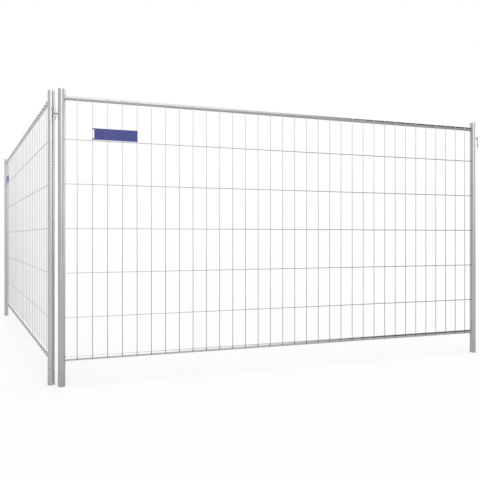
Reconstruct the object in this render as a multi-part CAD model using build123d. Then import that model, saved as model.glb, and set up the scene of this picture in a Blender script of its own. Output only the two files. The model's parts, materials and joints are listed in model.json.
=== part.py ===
"""Two welded-mesh fence panels hooked together at a corner, so that one swings on the other as a gate.

Each panel is drawn lying along +X from the foot of its eye post, with its outer face towards -Y.
"""

import os

from build123d import *

# Frame of one panel, in millimetres
POST_HEIGHT = 2000
POST_SPACING = 3400  # between the centre lines of one panel's two posts
POST_DIAMETER = 48
POST_WALL = 2
RAIL_DIAMETER = 30
RAIL_WALL = 1.5
BOTTOM_RAIL_HEIGHT = 182  # from the ground to the rail's centre line
TOP_RAIL_DROP = 58  # from the posts' tops down to the rail's centre line
DRAIN_DIAMETER = 10
DRAIN_HEIGHT = 20  # from the post's foot to the hole's centre
PLUG_DIAMETER = 14
PLUG_HEAD = 2  # how far the plug's head stands proud of the post
PLUG_DEPTH = 6
PLUG_CLEARANCE = 0.1  # between the plug's shank and the drain hole, all round

# Mesh of one panel
VERTICAL_COUNT = 33
VERTICAL_DIAMETER = 4.5
VERTICAL_LAP = 9  # how far a vertical wire runs past a rail's centre line
HORIZONTAL_COUNT = 5
HORIZONTAL_DIAMETER = 5
EDGE_BAY = 280  # from a rail's centre line to the nearest horizontal wire

# Hook on one post and eye on the other
HOOK_DIAMETER = 14
HOOK_DROP = 124  # from the post's top down to the arm's centre line
HOOK_STANDOFF = 43.5  # from the post's skin to the leg's centre line
HOOK_TURN = 12  # out of the panel's plane towards its inner face, in degrees
HOOK_BEND = 20  # radius of the bend's centre line
HOOK_TAIL = 40  # length of the leg below the eye
HOOK_TAPER = 25  # length of the leg's tapered end
HOOK_POINT_DIAMETER = 6
EYE_STANDOFF = 17.5  # from the post's skin to the bore's centre line
EYE_THICKNESS = 12
EYE_RIM = 9.5  # metal around the bore
EYE_ROUND = 4  # radius of the rounded edges
EYE_DROP = 16  # from the end of the hook's bend down to the eye
EYE_CLEARANCE = 0.5  # between the leg and the bore, all round

# Sign plate, hung on two of the vertical wires
SIGN_FIRST_WIRE = 2
SIGN_BAYS = 3
SIGN_HEIGHT = 78
SIGN_SHEET = 1
SIGN_LIP = 6  # length of the hem behind the wire
SIGN_SETBACK = 10.5  # from the first wire to the plate's plain edge
SIGN_TAB = 8  # height of each tab that reaches the first wire
SIGN_CLEARANCE = 0.2  # between the sheet and the wires
SIGN_LIFT = 3  # above the top horizontal wire

# Inside angle between the two panels at rest, in degrees
CORNER_ANGLE = 102

# Sizes that follow from those above
POST_RADIUS = POST_DIAMETER / 2
RAIL_RADIUS = RAIL_DIAMETER / 2
TOP_RAIL_HEIGHT = POST_HEIGHT - TOP_RAIL_DROP
VERTICAL_PITCH = POST_SPACING / (VERTICAL_COUNT + 1)
VERTICAL_RADIUS = VERTICAL_DIAMETER / 2
VERTICAL_Y = -(RAIL_RADIUS + VERTICAL_RADIUS)
LOWEST_WIRE_HEIGHT = BOTTOM_RAIL_HEIGHT + EDGE_BAY
TOP_WIRE_HEIGHT = TOP_RAIL_HEIGHT - EDGE_BAY
HORIZONTAL_PITCH = (TOP_WIRE_HEIGHT - LOWEST_WIRE_HEIGHT) / (HORIZONTAL_COUNT - 1)
HORIZONTAL_RADIUS = HORIZONTAL_DIAMETER / 2
HORIZONTAL_Y = VERTICAL_Y + VERTICAL_RADIUS + HORIZONTAL_RADIUS
HOOK_RADIUS = HOOK_DIAMETER / 2
HOOK_HEIGHT = POST_HEIGHT - HOOK_DROP
HOOK_REACH = POST_RADIUS + HOOK_STANDOFF
EYE_REACH = POST_RADIUS + EYE_STANDOFF
EYE_BORE_RADIUS = HOOK_RADIUS + EYE_CLEARANCE
EYE_RADIUS = EYE_BORE_RADIUS + EYE_RIM
EYE_BASE_HEIGHT = HOOK_HEIGHT - HOOK_BEND - EYE_DROP - EYE_THICKNESS
HOOK_TIP_HEIGHT = EYE_BASE_HEIGHT - HOOK_TAIL

UPRIGHT = (Align.CENTER, Align.CENTER, Align.MIN)
HANGING = (Align.CENTER, Align.CENTER, Align.MAX)
LYING = Rot(0, 90, 0)


def tube(length, diameter, wall):
    """An open tube standing on the origin."""
    outside = Cylinder(diameter / 2, length, align=UPRIGHT)
    inside = Cylinder(diameter / 2 - wall, length, align=UPRIGHT)
    return outside - inside


def post_core(x):
    """The full round of a post, which shapes the ends of what is welded to it."""
    return Pos(x, 0, 0) * Cylinder(POST_RADIUS, POST_HEIGHT, align=UPRIGHT)


def post(x, outward):
    """A post with a drain hole low in the wall that faces away from the panel."""
    drain = LYING * Cylinder(DRAIN_DIAMETER / 2, POST_RADIUS)
    drain = Pos(outward * POST_RADIUS, 0, DRAIN_HEIGHT) * drain
    return Pos(x, 0, 0) * (tube(POST_HEIGHT, POST_DIAMETER, POST_WALL) - drain)


def drain_plug(x, outward):
    """A plug pushed into a post's drain hole, with a rounded head."""
    shank = Cylinder(DRAIN_DIAMETER / 2 - PLUG_CLEARANCE, PLUG_DEPTH, align=HANGING)
    head = Cylinder(PLUG_DIAMETER / 2, PLUG_HEAD, align=UPRIGHT)
    head = fillet(head.edges().group_by(Axis.Z)[-1], PLUG_HEAD / 2)
    return Pos(x + outward * POST_RADIUS, 0, DRAIN_HEIGHT) * Rot(0, outward * 90, 0) * (shank + head)


def between_posts(bar):
    """Trim a bar that runs from post to post so that its ends meet the posts' skins."""
    return bar - post_core(0) - post_core(POST_SPACING)


def rail(height):
    """A horizontal tube between the posts."""
    bar = tube(POST_SPACING, RAIL_DIAMETER, RAIL_WALL)
    return between_posts(Pos(0, 0, height) * LYING * bar)


def horizontal_wire(number):
    """One wire from post to post behind the vertical wires, counted from the bottom."""
    height = LOWEST_WIRE_HEIGHT + (number - 1) * HORIZONTAL_PITCH
    wire = Cylinder(HORIZONTAL_RADIUS, POST_SPACING, align=UPRIGHT)
    return between_posts(Pos(0, HORIZONTAL_Y, height) * LYING * wire)


def vertical_wires():
    """The upright wires, which lie on the front of both rails."""
    foot = BOTTOM_RAIL_HEIGHT - VERTICAL_LAP
    length = TOP_RAIL_HEIGHT + VERTICAL_LAP - foot
    wire = Cylinder(VERTICAL_RADIUS, length, align=UPRIGHT)
    places = [Pos((i + 1) * VERTICAL_PITCH, VERTICAL_Y, foot) for i in range(VERTICAL_COUNT)]
    return Compound([place * wire for place in places])


def hook():
    """A round bar that runs out from the hook post, turns down and ends in a taper."""
    arm_length = HOOK_REACH - HOOK_BEND
    arm = LYING * Cylinder(HOOK_RADIUS, arm_length, align=UPRIGHT)
    bend = Rot(90, 0, 0) * Torus(HOOK_BEND, HOOK_RADIUS, major_angle=90, align=None)
    bend = Pos(arm_length, 0, -HOOK_BEND) * bend
    leg_length = HOOK_HEIGHT - HOOK_BEND - HOOK_TIP_HEIGHT - HOOK_TAPER
    leg = Cylinder(HOOK_RADIUS, leg_length, align=UPRIGHT)
    taper = Cone(HOOK_POINT_DIAMETER / 2, HOOK_RADIUS, HOOK_TAPER, align=UPRIGHT)
    upright = taper + Pos(0, 0, HOOK_TAPER) * leg
    bar = arm + bend + Pos(HOOK_REACH, 0, HOOK_TIP_HEIGHT - HOOK_HEIGHT) * upright
    return Pos(POST_SPACING, 0, HOOK_HEIGHT) * Rot(0, 0, HOOK_TURN) * bar - post_core(POST_SPACING)


def eye():
    """A round-edged lug with a bore, level with the leg of the next panel's hook."""
    centre = Pos(-EYE_REACH, 0)
    arm = Pos(-EYE_REACH / 2, 0) * Rectangle(EYE_REACH, 2 * EYE_RADIUS)
    lug = extrude(arm + centre * Circle(EYE_RADIUS), EYE_THICKNESS)
    lug = fillet(lug.edges().filter_by(Plane.XY), EYE_ROUND)
    bore = centre * Cylinder(EYE_BORE_RADIUS, EYE_THICKNESS, align=UPRIGHT)
    return Pos(0, 0, EYE_BASE_HEIGHT) * (lug - bore) - post_core(0)


def sign_hem(outward):
    """Plan of one hem, round a wire at the origin: a half-round bend and the lip behind the wire."""
    inner = VERTICAL_RADIUS + SIGN_CLEARANCE
    outer = inner + SIGN_SHEET
    bend = Circle(outer) - Circle(inner)
    bend = bend & Pos(outward * outer, 0) * Rectangle(2 * outer, 2 * outer)
    lip = Pos(-outward * SIGN_LIP / 2, (inner + outer) / 2) * Rectangle(SIGN_LIP, SIGN_SHEET)
    return bend + lip


def sign_plate():
    """A sheet in front of the mesh, with two tabs folded round one wire and a full hem round another."""
    width = SIGN_BAYS * VERTICAL_PITCH
    face_y = -(VERTICAL_RADIUS + SIGN_CLEARANCE + SIGN_SHEET / 2)
    face = Pos(width / 2, face_y) * Rectangle(width, SIGN_SHEET)
    plan = face + sign_hem(-1) + Pos(width, 0) * sign_hem(1)
    notch_sides = (Align.MAX, Align.CENTER, Align.MIN)
    notch = Box(VERTICAL_PITCH, VERTICAL_PITCH, SIGN_HEIGHT - 2 * SIGN_TAB, align=notch_sides)
    plate = extrude(plan, SIGN_HEIGHT) - Pos(SIGN_SETBACK, 0, SIGN_TAB) * notch
    foot = TOP_WIRE_HEIGHT + HORIZONTAL_RADIUS + SIGN_LIFT
    return Pos(SIGN_FIRST_WIRE * VERTICAL_PITCH, VERTICAL_Y, foot) * plate


def panel():
    """Every piece of one panel, by name."""
    pieces = {
        "eye_post": post(0, -1),
        "hook_post": post(POST_SPACING, 1),
        "drain_plugs": Compound([drain_plug(0, -1), drain_plug(POST_SPACING, 1)]),
        "top_rail": rail(TOP_RAIL_HEIGHT),
        "bottom_rail": rail(BOTTOM_RAIL_HEIGHT),
        "vertical_wires": vertical_wires(),
        "hook": hook(),
        "eye": eye(),
        "sign_plate": sign_plate(),
    }
    for number in range(1, HORIZONTAL_COUNT + 1):
        pieces[f"horizontal_wire_{number}"] = horizontal_wire(number)
    return pieces


def assembly():
    """Both panels around the line of the hook's leg, then moved to the middle of their footprint."""
    leaf_place = Pos(EYE_REACH, 0, 0)
    leg_place = Pos(POST_SPACING, 0, 0) * Rot(0, 0, HOOK_TURN) * Pos(HOOK_REACH, 0, 0)
    fixed_place = Rot(0, 0, CORNER_ANGLE - 180 + HOOK_TURN) * leg_place.inverse()
    placed = {}
    for name, piece in panel().items():
        placed["leaf_" + name] = leaf_place * piece
        placed["fixed_" + name] = fixed_place * piece
    middle = Compound(list(placed.values())).bounding_box().center()
    return {name: Pos(-middle.X, -middle.Y, 0) * piece for name, piece in placed.items()}


os.makedirs("parts", exist_ok=True)
for name, piece in assembly().items():
    export_step(piece, f"parts/{name}.step")
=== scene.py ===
"""Looks of the temporary fence gate: galvanised tube and wire, weld beads and painted plates."""

import fnmatch
import json
import math
import random

import bmesh
import bpy
from mathutils import Matrix, Vector

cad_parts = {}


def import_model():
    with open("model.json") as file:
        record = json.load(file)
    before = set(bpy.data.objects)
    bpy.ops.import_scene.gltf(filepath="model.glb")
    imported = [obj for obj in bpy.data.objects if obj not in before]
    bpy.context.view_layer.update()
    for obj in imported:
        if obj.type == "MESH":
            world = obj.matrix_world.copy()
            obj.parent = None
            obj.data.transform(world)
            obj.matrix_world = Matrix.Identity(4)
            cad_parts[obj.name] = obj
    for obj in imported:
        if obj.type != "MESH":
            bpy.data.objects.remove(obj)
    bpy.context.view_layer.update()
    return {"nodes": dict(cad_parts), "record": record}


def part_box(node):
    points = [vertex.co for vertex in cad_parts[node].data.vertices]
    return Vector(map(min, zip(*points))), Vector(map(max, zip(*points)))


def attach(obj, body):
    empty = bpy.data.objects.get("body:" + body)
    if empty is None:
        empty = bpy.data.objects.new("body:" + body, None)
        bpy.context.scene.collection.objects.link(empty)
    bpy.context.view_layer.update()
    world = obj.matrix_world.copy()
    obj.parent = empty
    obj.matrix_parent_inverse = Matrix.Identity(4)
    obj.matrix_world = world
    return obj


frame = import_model()

# Sides of the gate: node prefix and the CAD body that it rides on
SIDES = {"leaf": "gate_leaf", "fixed": "fixed_panel"}

# Camera, from a perspective fit of the photograph, measured from the foot of the leaf's eye post
CAMERA_OFFSET = Vector((0.1090, -3.5202, 1.0035))
CAMERA_HEADING = math.radians(16.996)  # to the right of +Y
CAMERA_LENS = 37.172  # on a 36 mm sensor
CAMERA_SHIFT = (0.0206, -0.0060)

# Weld sizes, in metres
RAIL_BEAD = 0.0030
FITTING_BEAD = 0.0026
WIRE_NUGGET = 0.0033
WIRE_BEAD = WIRE_NUGGET * 0.4

# Half sizes of a spot weld, where two wires cross and where a wire crosses a rail
WIRE_SPOT = (WIRE_NUGGET, WIRE_NUGGET * 0.5, WIRE_NUGGET)
RAIL_SPOT = (WIRE_NUGGET * 1.2, WIRE_NUGGET * 0.5, WIRE_NUGGET * 2)

# Points along one bead, and how its thickness ripples and varies, as shares of it
RAIL_BEAD_POINTS = 56
HOOK_BEAD_POINTS = 32
EYE_BEAD_POINTS = 40
WIRE_BEAD_POINTS = 12
RIPPLE = 0.16
RIPPLE_POINTS = 4  # along one ripple
SCATTER = 0.08

# Of the CAD model, but not held in the frame
VERTICAL_COUNT = 33
EYE_ROUND = 0.004  # radius of the eyes' edges, in metres

# How far wear reaches, in metres
END_WEAR = 0.010  # from the ends of the posts
EDGE_WEAR = 0.006  # from the outer sides of the rails and the ends of the upright wires
RIM_WEAR = 0.004  # from the rims of the plates
RUB_REACH = 0.022  # above and below the middle of an eye

# How blue zinc is, as a share of its grey
ZINC_COOL = 0.008

# Heights between which the tone of zinc changes as painted light and shade, and that splashed mud
# reaches, in metres
PAINTED_SHADING_HEIGHTS = (0.2, 1.9)
SPLASH_HEIGHT = 0.30

# How much lighter zinc is where it has bloomed, is scuffed or is worn
BLOOM_LIFT = 0.08
SCUFF_LIFT = 0.14
WEAR_LIFT = 0.18

# Colours of what lies on the finishes
MUD = (0.17, 0.155, 0.13, 1)
RUST = (0.20, 0.11, 0.055, 1)
DUST = (0.42, 0.40, 0.36, 1)
RAIN_STREAK = (0.19, 0.20, 0.36, 1)

# Stage levels, and distances in metres
AMBIENT = 0.44
FLOOR_GREY = 0.50
FLOOR_GLOW = 0.56
FLOOR_RADIUS = 60
FLAG_DISTANCE = 20
CAMERA_REACH = 200


# Measures read from the frame

def centre(node):
    low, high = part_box(node)
    return (low + high) / 2


def extent(node):
    low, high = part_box(node)
    return high - low


def mount(name):
    return next(entry for entry in frame["record"]["mounts"] if entry["name"] == name)


POST_RADIUS = extent("leaf_eye_post").x / 2
POST_HEIGHT = extent("leaf_eye_post").z
RAIL_RADIUS = extent("leaf_top_rail").z / 2
RAIL_HEIGHTS = [centre("leaf_bottom_rail").z, centre("leaf_top_rail").z]
LEAF_ENDS = (centre("leaf_eye_post").x, centre("leaf_hook_post").x)
POST_SPACING = LEAF_ENDS[1] - LEAF_ENDS[0]
HORIZONTAL_NODES = sorted(name for name in frame["nodes"] if name.startswith("leaf_horizontal_wire"))
HORIZONTAL_HEIGHTS = [centre(name).z for name in HORIZONTAL_NODES]
HORIZONTAL_RADIUS = extent(HORIZONTAL_NODES[0]).z / 2
HORIZONTAL_Y = centre(HORIZONTAL_NODES[0]).y - centre("leaf_eye_post").y
VERTICAL_RADIUS = extent("leaf_vertical_wires").y / 2
VERTICAL_Y = centre("leaf_vertical_wires").y - centre("leaf_eye_post").y
WIRE_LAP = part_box("leaf_vertical_wires")[1].z - RAIL_HEIGHTS[1]
VERTICAL_PITCH = (extent("leaf_vertical_wires").x - 2 * VERTICAL_RADIUS) / (VERTICAL_COUNT - 1)
HOOK_RADIUS = mount("leaf_coupling_hook")["dims"]["r_mm"] / 1000
HOOK_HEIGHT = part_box("leaf_hook")[1].z - HOOK_RADIUS
HOOK_LEG = Vector(mount("leaf_coupling_hook")["pos_m"]) - centre("leaf_hook_post")
HOOK_TURN = math.atan2(HOOK_LEG.y, HOOK_LEG.x)
EYE_HALF_WIDTH = extent("leaf_eye").y / 2
EYE_HALF_HEIGHT = extent("leaf_eye").z / 2
EYE_HEIGHT = centre("leaf_eye").z


def panel_frame(side):
    """From a panel's own frame, along +X from the foot of its eye post, to the row frame."""
    start = centre(f"{side}_eye_post")
    run = centre(f"{side}_hook_post") - start
    turn = Matrix.Rotation(math.atan2(run.y, run.x), 4, "Z")
    return Matrix.Translation((start.x, start.y, 0)) @ turn


# Node helpers

class Shader:
    """A material's node tree, with short calls to add and join nodes."""

    def __init__(self, name):
        self.material = bpy.data.materials.new(name)
        self.material.use_nodes = True
        self.tree = self.material.node_tree
        self.surface = self.tree.nodes["Principled BSDF"]
        self.place = self.add("ShaderNodeTexCoord").outputs["Object"]

    def add(self, kind, **settings):
        node = self.tree.nodes.new(kind)
        for key, value in settings.items():
            setattr(node, key, value)
        return node

    def put(self, socket, value):
        """Link value if it is a socket, or set it if it is a number or colour."""
        if isinstance(value, bpy.types.NodeSocket):
            self.tree.links.new(value, socket)
        else:
            socket.default_value = value

    def stretched(self, scale):
        """Object coordinates scaled by different amounts along each axis."""
        mapping = self.add("ShaderNodeMapping")
        self.put(mapping.inputs["Vector"], self.place)
        mapping.inputs["Scale"].default_value = scale
        return mapping.outputs["Vector"]

    def noise(self, scale, detail=4.0, roughness=0.5, place=None):
        node = self.add("ShaderNodeTexNoise")
        self.put(node.inputs["Vector"], place or self.place)
        node.inputs["Scale"].default_value = scale
        node.inputs["Detail"].default_value = detail
        node.inputs["Roughness"].default_value = roughness
        return node.outputs["Fac"]

    def cells(self, scale):
        """A random grey per crystal."""
        node = self.add("ShaderNodeTexVoronoi")
        self.put(node.inputs["Vector"], self.place)
        node.inputs["Scale"].default_value = scale
        split = self.add("ShaderNodeSeparateColor")
        self.put(split.inputs["Color"], node.outputs["Color"])
        return split.outputs["Red"]

    def along(self, axis):
        """Distance along X, Y or Z."""
        split = self.add("ShaderNodeSeparateXYZ")
        self.put(split.inputs["Vector"], self.place)
        return split.outputs[axis]

    def height(self):
        """Height above the ground."""
        return self.along("Z")

    def span(self, value, low, high, to_low, to_high):
        """Carry value from one range to another, held inside it."""
        node = self.add("ShaderNodeMapRange")
        for socket, given in zip(node.inputs, (value, low, high, to_low, to_high)):
            self.put(socket, given)
        return node.outputs["Result"]

    def math(self, operation, first, second):
        node = self.add("ShaderNodeMath", operation=operation)
        self.put(node.inputs[0], first)
        self.put(node.inputs[1], second)
        return node.outputs["Value"]

    def mix(self, factor, first, second, blend="MIX"):
        node = self.add("ShaderNodeMix", data_type="RGBA", blend_type=blend)
        self.put(node.inputs["Factor"], factor)
        self.put(node.inputs["A"], first)
        self.put(node.inputs["B"], second)
        return node.outputs["Result"]

    def bump(self, height, strength, distance):
        node = self.add("ShaderNodeBump")
        node.inputs["Strength"].default_value = strength
        node.inputs["Distance"].default_value = distance
        self.put(node.inputs["Height"], height)
        self.put(self.surface.inputs["Normal"], node.outputs["Normal"])

    def set(self, **inputs):
        """Set or link the surface's own sockets, with underscores for spaces."""
        for key, value in inputs.items():
            self.put(self.surface.inputs[key.replace("_", " ")], value)
        return self.material


def grey(level, cool=ZINC_COOL):
    """A zinc grey that is cool by the given share."""
    return (level * (1 - cool), level, level * (1 + cool), 1)


# Materials

def zinc_tone(look, tones, free_end, cool, crystals):
    """Zinc grey with painted light and shade from foot to top and along the leaf, varied by crystal and
    in runs down the metal.
    """
    foot_tone, top_tone = tones
    # painted light and shade: the grey moves from the foot tone to the top tone between these heights
    tone = look.mix(look.span(look.height(), *PAINTED_SHADING_HEIGHTS, 0, 1), grey(foot_tone), grey(top_tone, cool))
    # painted shade: everything on the leaf grows darker towards its free end, as if the light fell off
    # there
    tone = look.mix(1, tone, look.span(look.along("X"), *LEAF_ENDS, 1, free_end), "MULTIPLY")
    tone = look.mix(1, tone, look.span(crystals, 0, 1, 0.97, 1.03), "MULTIPLY")
    runs = look.noise(1, 3, 0.55, look.stretched((60, 60, 3)))
    return look.mix(1, tone, look.span(runs, 0.3, 0.7, 0.96, 1.04), "MULTIPLY")


def ground_splash(look, amount):
    """Where mud has splashed up, thinning out with height."""
    drops = look.span(look.noise(38, 5, 0.7), 0.35, 0.7, 0, 1)
    return look.math("MULTIPLY", look.span(look.height(), 0, SPLASH_HEIGHT, amount, 0), drops)


def end_wear(look):
    """Where the posts' ends are knocked bright, in their topmost and lowest few millimetres."""
    top = look.span(look.height(), POST_HEIGHT - END_WEAR, POST_HEIGHT, 0, 1)
    foot = look.span(look.height(), 0, END_WEAR, 1, 0)
    knocks = look.span(look.noise(160, 4, 0.7), 0.42, 0.60, 0, 0.8)
    return look.math("MULTIPLY", look.math("MAXIMUM", top, foot), knocks)


def edge_wear(look, reach):
    """Knocks along a panel's outer edge, which lies the given reach outside the middles of the rails."""
    low, high = RAIL_HEIGHTS
    from_middle = look.math("ABSOLUTE", look.math("SUBTRACT", look.height(), (low + high) / 2), 0)
    edge = (high - low) / 2 + reach
    outside = look.span(from_middle, edge - EDGE_WEAR, edge, 0, 1)
    knocks = look.span(look.noise(160, 4, 0.7), 0.34, 0.58, 0, 0.8)
    return look.math("MULTIPLY", outside, knocks)


def rail_wear(look):
    """Where the outer sides of the rails are knocked bright."""
    return edge_wear(look, RAIL_RADIUS)


def wire_wear(look):
    """Where the ends of the upright wires are knocked bright."""
    return edge_wear(look, WIRE_LAP)


def rubbed(look):
    """Where a hook's leg and an eye rub on each other."""
    above = look.span(look.height(), EYE_HEIGHT, EYE_HEIGHT + RUB_REACH, 1, 0)
    below = look.span(look.height(), EYE_HEIGHT - RUB_REACH, EYE_HEIGHT, 0, 1)
    scrapes = look.span(look.noise(1, 4, 0.6, look.stretched((300, 300, 60))), 0.36, 0.62, 0, 1)
    return look.math("MULTIPLY", look.math("MINIMUM", above, below), scrapes)


def galvanised(name, tones, dullness, spangle, dirt, worn, free_end=1.0, cool=ZINC_COOL):
    """Zinc with crystals of the given size, dull blooms, fine scuffs, worn places and splashed mud.

    The tones are those at the foot and at the top, their difference being painted light and shade;
    the free-end share is their share at the leaf's free end, a painted shade, and cool is how blue the
    top is.
    """
    look = Shader(name)
    crystals = look.cells(1 / spangle)
    tone = zinc_tone(look, tones, free_end, cool, crystals)
    top_tone = tones[1]
    bloom = look.span(look.noise(5.5, 7, 0.66), 0.50, 0.72, 0, 0.30)
    tone = look.mix(bloom, tone, grey(top_tone + BLOOM_LIFT, cool))
    scuffs = look.span(look.noise(1, 4, 0.6, look.stretched((40, 40, 420))), 0.62, 0.70, 0, 0.18)
    tone = look.mix(scuffs, tone, grey(top_tone + SCUFF_LIFT, cool))
    wear = worn(look)
    tone = look.mix(wear, tone, grey(top_tone + WEAR_LIFT))
    tone = look.mix(ground_splash(look, dirt), tone, MUD)
    dull = look.span(crystals, 0, 1, dullness - 0.02, dullness + 0.02)
    dull = look.math("ADD", dull, look.math("MULTIPLY", bloom, 0.20))
    polish = look.math("MULTIPLY", look.math("MAXIMUM", scuffs, wear), 0.12)
    dull = look.math("SUBTRACT", dull, polish)
    grain = look.math("ADD", look.math("MULTIPLY", crystals, 0.35), look.noise(900, 3))
    look.bump(grain, 0.06, 0.0004)
    return look.set(Base_Color=tone, Metallic=0.95, Roughness=dull)


def post_zinc(name, tones, **shares):
    """Zinc of the posts: duller, muddy at the foot and knocked at both ends."""
    return galvanised(name, tones, dullness=0.24, spangle=0.004, dirt=0.45, worn=end_wear, **shares)


def rail_zinc(name, tones, **shares):
    """Zinc of the rails: brighter, and knocked along their outer sides."""
    return galvanised(name, tones, dullness=0.17, spangle=0.004, dirt=0.10, worn=rail_wear, **shares)


def wire_zinc(name, tones, dirt, **shares):
    """Zinc of the wires: in finer crystals, and knocked at the ends of the upright ones."""
    return galvanised(name, tones, dullness=0.18, spangle=0.003, dirt=dirt, worn=wire_wear, **shares)


def fitting_zinc(name, tones, **shares):
    """Zinc of the hooks and eyes: clean, and rubbed bright where they touch."""
    return galvanised(name, tones, dullness=0.20, spangle=0.004, dirt=0.0, worn=rubbed, **shares)


def pale_plastic(name):
    """Moulded plastic, a little yellowed in patches and dusty."""
    look = Shader(name)
    patches = look.span(look.noise(140, 4, 0.6), 0.35, 0.65, 0, 1)
    tone = look.mix(patches, (0.70, 0.70, 0.68, 1), (0.62, 0.61, 0.56, 1))
    dust = look.span(look.noise(700, 5, 0.7), 0.55, 0.75, 0, 0.4)
    tone = look.mix(dust, tone, DUST)
    look.bump(look.noise(900, 3), 0.1, 0.0003)
    return look.set(Base_Color=tone, Roughness=look.span(patches, 0, 1, 0.35, 0.50))


def zinc_weld(name):
    """Weld metal under zinc: lumpy, duller than the tube and a little rusty where the zinc is thin."""
    look = Shader(name)
    lumps = look.noise(420, 4, 0.6)
    tone = look.mix(look.span(lumps, 0.3, 0.7, 0, 1), grey(0.34), grey(0.52))
    rust = look.span(look.noise(95, 5, 0.7), 0.62, 0.76, 0, 0.45)
    tone = look.mix(rust, tone, RUST)
    look.bump(lumps, 0.4, 0.0008)
    return look.set(Base_Color=tone, Metallic=0.5, Roughness=look.span(lumps, 0.3, 0.7, 0.42, 0.62))


def blue_enamel(name):
    """Blue paint on sheet steel: orange peel, fading, rain streaks and edges chipped down to the zinc."""
    look = Shader(name)
    low, high = (corner.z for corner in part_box("leaf_sign_plate"))
    fade = look.span(look.noise(9, 5, 0.6), 0.3, 0.7, 0, 1)
    tone = look.mix(fade, (0.083, 0.097, 0.330, 1), (0.108, 0.124, 0.390, 1))
    streaks = look.span(look.noise(1, 4, 0.6, look.stretched((190, 190, 9))), 0.52, 0.75, 0, 0.22)
    tone = look.mix(streaks, tone, RAIN_STREAK)
    rim = look.span(look.height(), low, low + RIM_WEAR, 1, 0)
    rim = look.math("MAXIMUM", rim, look.span(look.height(), high - RIM_WEAR, high, 0, 1))
    chips = look.math("ADD", look.noise(210, 6, 0.7), look.math("MULTIPLY", rim, 0.14))
    bare = look.span(chips, 0.70, 0.72, 0, 1)
    tone = look.mix(bare, tone, grey(0.42))
    look.bump(look.math("SUBTRACT", look.noise(700, 2), bare), 0.08, 0.0004)
    gloss = look.math("ADD", look.span(fade, 0, 1, 0.34, 0.46), look.math("MULTIPLY", streaks, 0.6))
    shine = look.math("MULTIPLY", bare, 0.7)
    return look.set(Base_Color=tone, Metallic=shine, Roughness=gloss, Specular_IOR_Level=0.20)


# painted light and shade: these tones, free-end shares and lighter or darker copies of one zinc stand in
# for how light falls on each part
LEAF_POST = post_zinc("zinc_leaf_post", (0.41, 0.42))
FIXED_POST = post_zinc("zinc_fixed_post", (0.47, 0.48), cool=0.016)
RAIL = rail_zinc("zinc_rail", (0.48, 0.40), free_end=0.79)
LEAF_WIRE = wire_zinc("zinc_leaf_wire", (0.24, 0.49), dirt=0.25, free_end=0.74)
FIXED_WIRE = wire_zinc("zinc_fixed_wire", (0.39, 0.44), dirt=0.10, cool=0.06)
LEVEL_WIRE = wire_zinc("zinc_level_wire", (0.44, 0.35), dirt=0.0, free_end=0.25)
FITTING = fitting_zinc("zinc_fitting", (0.58, 0.58), free_end=0.72)
EYE = fitting_zinc("zinc_eye", (0.25, 0.25))
PLUG = pale_plastic("pale_plastic")
WELD = zinc_weld("zinc_weld")
ENAMEL = blue_enamel("blue_enamel")

# Finish of a CAD node by the pattern of its name
FINISHES = {
    "leaf_vertical_wires": LEAF_WIRE,
    "fixed_vertical_wires": FIXED_WIRE,
    "*_horizontal_wire_*": LEVEL_WIRE,
    "*_plugs": PLUG,
    "*_sign_plate": ENAMEL,
    "leaf_*_post": LEAF_POST,
    "fixed_*_post": FIXED_POST,
    "*_rail": RAIL,
    "*_hook": FITTING,
    "*_eye": EYE,
}


def dress_node(name, node):
    """Give a CAD node its finish."""
    finish = next(made for pattern, made in FINISHES.items() if fnmatch.fnmatch(name, pattern))
    node.data.materials.clear()
    node.data.materials.append(finish)


# Welds

def add_piece(name, side, mesh_maker):
    """A mesh built in the panel's own frame, carried to its place and made to ride on the panel."""
    mesh = bpy.data.meshes.new(name)
    build = bmesh.new()
    mesh_maker(build, random.Random(name))
    bmesh.ops.recalc_face_normals(build, faces=build.faces)
    build.transform(panel_frame(side))
    build.to_mesh(mesh)
    build.free()
    mesh.shade_smooth()
    mesh.materials.append(WELD)
    piece = bpy.data.objects.new(name, mesh)
    bpy.context.scene.collection.objects.link(piece)
    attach(piece, SIDES[side])


def ring_of(build, points, radius, rng, sides=8):
    """A closed rippled bead along the points."""
    count = len(points)
    rings = []
    for i, point in enumerate(points):
        along = (points[(i + 1) % count] - points[i - 1]).normalized()
        across = along.orthogonal().normalized()
        third = along.cross(across)
        ripple = RIPPLE * math.sin(i * math.tau / RIPPLE_POINTS)
        swell = radius * (1 + ripple + rng.uniform(-SCATTER, SCATTER))
        ring = []
        for k in range(sides):
            turn = k * math.tau / sides
            spoke = math.cos(turn) * across + math.sin(turn) * third
            ring.append(build.verts.new(point + swell * spoke))
        rings.append(ring)
    for i in range(count):
        this, after = rings[i], rings[(i + 1) % count]
        shift = min(range(sides), key=lambda k: (this[0].co - after[k].co).length)
        for k in range(sides):
            near = (this[k], this[(k + 1) % sides])
            far = (after[(k + 1 + shift) % sides], after[(k + shift) % sides])
            build.faces.new(near + far)


def on_post(post_x, turn, y, z):
    """A point on the skin of a post, on the side that faces turn from the panel's +X."""
    reach = Vector((math.sqrt(POST_RADIUS ** 2 - y ** 2), y, z))
    return Vector((post_x, 0, 0)) + Matrix.Rotation(turn, 3, "Z") @ reach


def round_joint(post_x, turn, radius, height, steps, y=0.0):
    """The line where a round bar meets a post."""
    line = []
    for i in range(steps):
        angle = i * math.tau / steps
        across = y + radius * math.cos(angle)
        line.append(on_post(post_x, turn, across, height + radius * math.sin(angle)))
    return line


def lug_joint(post_x, turn, steps):
    """The line where the round-edged eye meets its post."""
    line = []
    for i in range(steps):
        angle = i * math.tau / steps
        y = math.copysign(EYE_HALF_WIDTH - EYE_ROUND, math.cos(angle)) + EYE_ROUND * math.cos(angle)
        z = math.copysign(EYE_HALF_HEIGHT - EYE_ROUND, math.sin(angle)) + EYE_ROUND * math.sin(angle)
        line.append(on_post(post_x, turn, y, EYE_HEIGHT + z))
    return line


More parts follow.
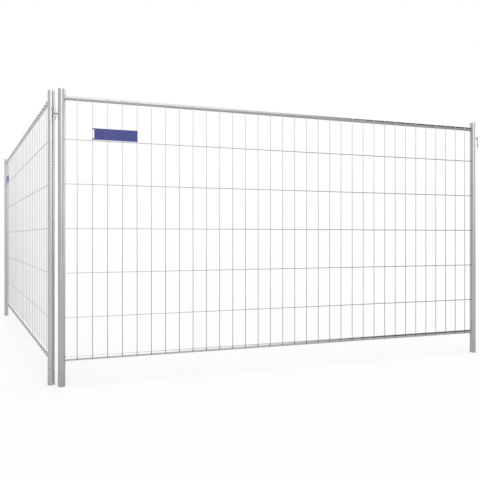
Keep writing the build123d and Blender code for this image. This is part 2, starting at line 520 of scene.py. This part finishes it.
def rail_welds(build, rng):
    """Beads round both ends of both rails."""
    for height in RAIL_HEIGHTS:
        for post_x, turn in ((0, 0), (POST_SPACING, math.pi)):
            joint = round_joint(post_x, turn, RAIL_RADIUS, height, RAIL_BEAD_POINTS)
            ring_of(build, joint, RAIL_BEAD, rng)


def fitting_welds(build, rng):
    """Beads round the foot of the hook and of the eye."""
    hook_line = round_joint(POST_SPACING, HOOK_TURN, HOOK_RADIUS, HOOK_HEIGHT, HOOK_BEAD_POINTS)
    ring_of(build, hook_line, FITTING_BEAD, rng)
    ring_of(build, lug_joint(0, math.pi, EYE_BEAD_POINTS), FITTING_BEAD, rng)


def nugget(build, place, size, rng):
    """One small squeezed-out spot weld."""
    made = bmesh.ops.create_icosphere(build, subdivisions=1, radius=1)
    scale = Vector([half * rng.uniform(0.85, 1.2) for half in size])
    for vert in made["verts"]:
        bulge = rng.uniform(0.9, 1.1)
        vert.co = place + Vector([unit * half * bulge for unit, half in zip(vert.co, scale)])


def wire_welds(build, rng):
    """Spot welds of the upright wires, and beads round the ends of the level ones."""
    columns = [(i + 1) * VERTICAL_PITCH for i in range(VERTICAL_COUNT)]
    meeting = VERTICAL_Y + VERTICAL_RADIUS
    for x in columns:
        for height in HORIZONTAL_HEIGHTS:
            nugget(build, Vector((x, meeting, height)), WIRE_SPOT, rng)
        for height in RAIL_HEIGHTS:
            nugget(build, Vector((x, meeting, height)), RAIL_SPOT, rng)
    for height in HORIZONTAL_HEIGHTS:
        for post_x, turn, y in ((0, 0, HORIZONTAL_Y), (POST_SPACING, math.pi, -HORIZONTAL_Y)):
            joint = round_joint(post_x, turn, HORIZONTAL_RADIUS, height, WIRE_BEAD_POINTS, y)
            ring_of(build, joint, WIRE_BEAD, rng, sides=6)


# Stage

def seen_directly(tree):
    """1 for rays from the camera and for reflected and transmitted ones, 0 for diffuse light."""
    path = tree.nodes.new("ShaderNodeLightPath")
    seen = path.outputs["Is Camera Ray"]
    for name in ("Is Glossy Ray", "Is Transmission Ray"):
        either = tree.nodes.new("ShaderNodeMath")
        either.operation = "MAXIMUM"
        tree.links.new(seen, either.inputs[0])
        tree.links.new(path.outputs[name], either.inputs[1])
        seen = either.outputs["Value"]
    return seen


def floor():
    """A wide pale floor that looks white, apart from the object's shadow."""
    look = Shader("pale_floor")
    look.set(Base_Color=(FLOOR_GREY, FLOOR_GREY, FLOOR_GREY, 1), Roughness=0.9, Specular_IOR_Level=0.0)
    look.set(Emission_Color=(1, 1, 1, 1))
    glow = look.math("MULTIPLY", seen_directly(look.tree), FLOOR_GLOW)
    look.put(look.surface.inputs["Emission Strength"], glow)
    mesh = bpy.data.meshes.new("floor")
    build = bmesh.new()
    bmesh.ops.create_circle(build, cap_ends=True, segments=96, radius=FLOOR_RADIUS)
    build.to_mesh(mesh)
    build.free()
    mesh.materials.append(look.material)
    ground = bpy.data.objects.new("floor", mesh)
    bpy.context.scene.collection.objects.link(ground)


def world():
    """Even light from all round, with a white backdrop for the camera and for reflections."""
    studio = bpy.data.worlds.new("studio")
    studio.use_nodes = True
    tree = studio.node_tree
    back = tree.nodes["Background"]
    back.inputs["Color"].default_value = (1, 1, 1, 1)
    level = tree.nodes.new("ShaderNodeMapRange")
    tree.links.new(seen_directly(tree), level.inputs["Value"])
    level.inputs["To Min"].default_value = AMBIENT
    tree.links.new(level.outputs["Result"], back.inputs["Strength"])
    bpy.context.scene.world = studio


def wide_light(name, bearing, elevation, angle, strength):
    """One very wide and distant lamp, so that every part of the set gets the same soft light.

    The bearing is measured from the camera's side of the object towards +X.
    """
    lamp = bpy.data.lights.new(name, "SUN")
    lamp.angle = math.radians(angle)
    lamp.energy = strength
    light = bpy.data.objects.new(name, lamp)
    light.rotation_euler = (math.radians(90 - elevation), 0, math.radians(bearing))
    bpy.context.scene.collection.objects.link(light)


def flag(name, bearing, spread, bottom, top, tone):
    """A dark flag far beside the set that only reflections see, to give the metal its darker bands."""
    look = Shader(name)
    look.set(Base_Color=(0, 0, 0, 1), Roughness=1.0, Specular_IOR_Level=0.0)
    look.set(Emission_Color=(tone, tone, tone, 1), Emission_Strength=1.0)
    half_width = FLAG_DISTANCE * math.tan(math.radians(spread / 2))
    low = FLAG_DISTANCE * math.tan(math.radians(bottom))
    high = FLAG_DISTANCE * math.tan(math.radians(top))
    corners = [(-half_width, -FLAG_DISTANCE, low), (half_width, -FLAG_DISTANCE, low)]
    corners += [(half_width, -FLAG_DISTANCE, high), (-half_width, -FLAG_DISTANCE, high)]
    mesh = bpy.data.meshes.new(name)
    build = bmesh.new()
    build.faces.new([build.verts.new(corner) for corner in corners])
    build.transform(Matrix.Rotation(math.radians(bearing), 4, "Z"))
    build.to_mesh(mesh)
    build.free()
    mesh.materials.append(look.material)
    board = bpy.data.objects.new(name, mesh)
    board.visible_camera = False
    board.visible_diffuse = False
    board.visible_shadow = False
    bpy.context.scene.collection.objects.link(board)


def lamps():
    """Soft light from above, beside the camera, the right and behind, and one dark flag."""
    wide_light("sky", bearing=7, elevation=82, angle=56, strength=0.78)
    wide_light("key", bearing=-4, elevation=30, angle=57, strength=0.85)
    wide_light("side", bearing=87, elevation=12, angle=33, strength=0.44)
    wide_light("back", bearing=183, elevation=15, angle=28, strength=0.22)
    flag("right_flag", bearing=80, spread=80, bottom=25, top=60, tone=0.05)


def camera():
    """A level camera where the photographer stood."""
    lens = bpy.data.cameras.new("camera")
    lens.lens = CAMERA_LENS
    lens.shift_x, lens.shift_y = CAMERA_SHIFT
    lens.clip_end = CAMERA_REACH
    eye = bpy.data.objects.new("camera", lens)
    foot = centre("leaf_eye_post")
    eye.location = Vector((foot.x, foot.y, 0)) + CAMERA_OFFSET
    eye.rotation_euler = (math.radians(90), 0, -CAMERA_HEADING)
    bpy.context.scene.collection.objects.link(eye)
    bpy.context.scene.camera = eye


for node_name, node_object in frame["nodes"].items():
    dress_node(node_name, node_object)
for side_name in SIDES:
    add_piece(f"{side_name}_rail_welds", side_name, rail_welds)
    add_piece(f"{side_name}_fitting_welds", side_name, fitting_welds)
    add_piece(f"{side_name}_wire_welds", side_name, wire_welds)
floor()
world()
lamps()
camera()
bpy.context.scene.view_settings.view_transform = "Standard"
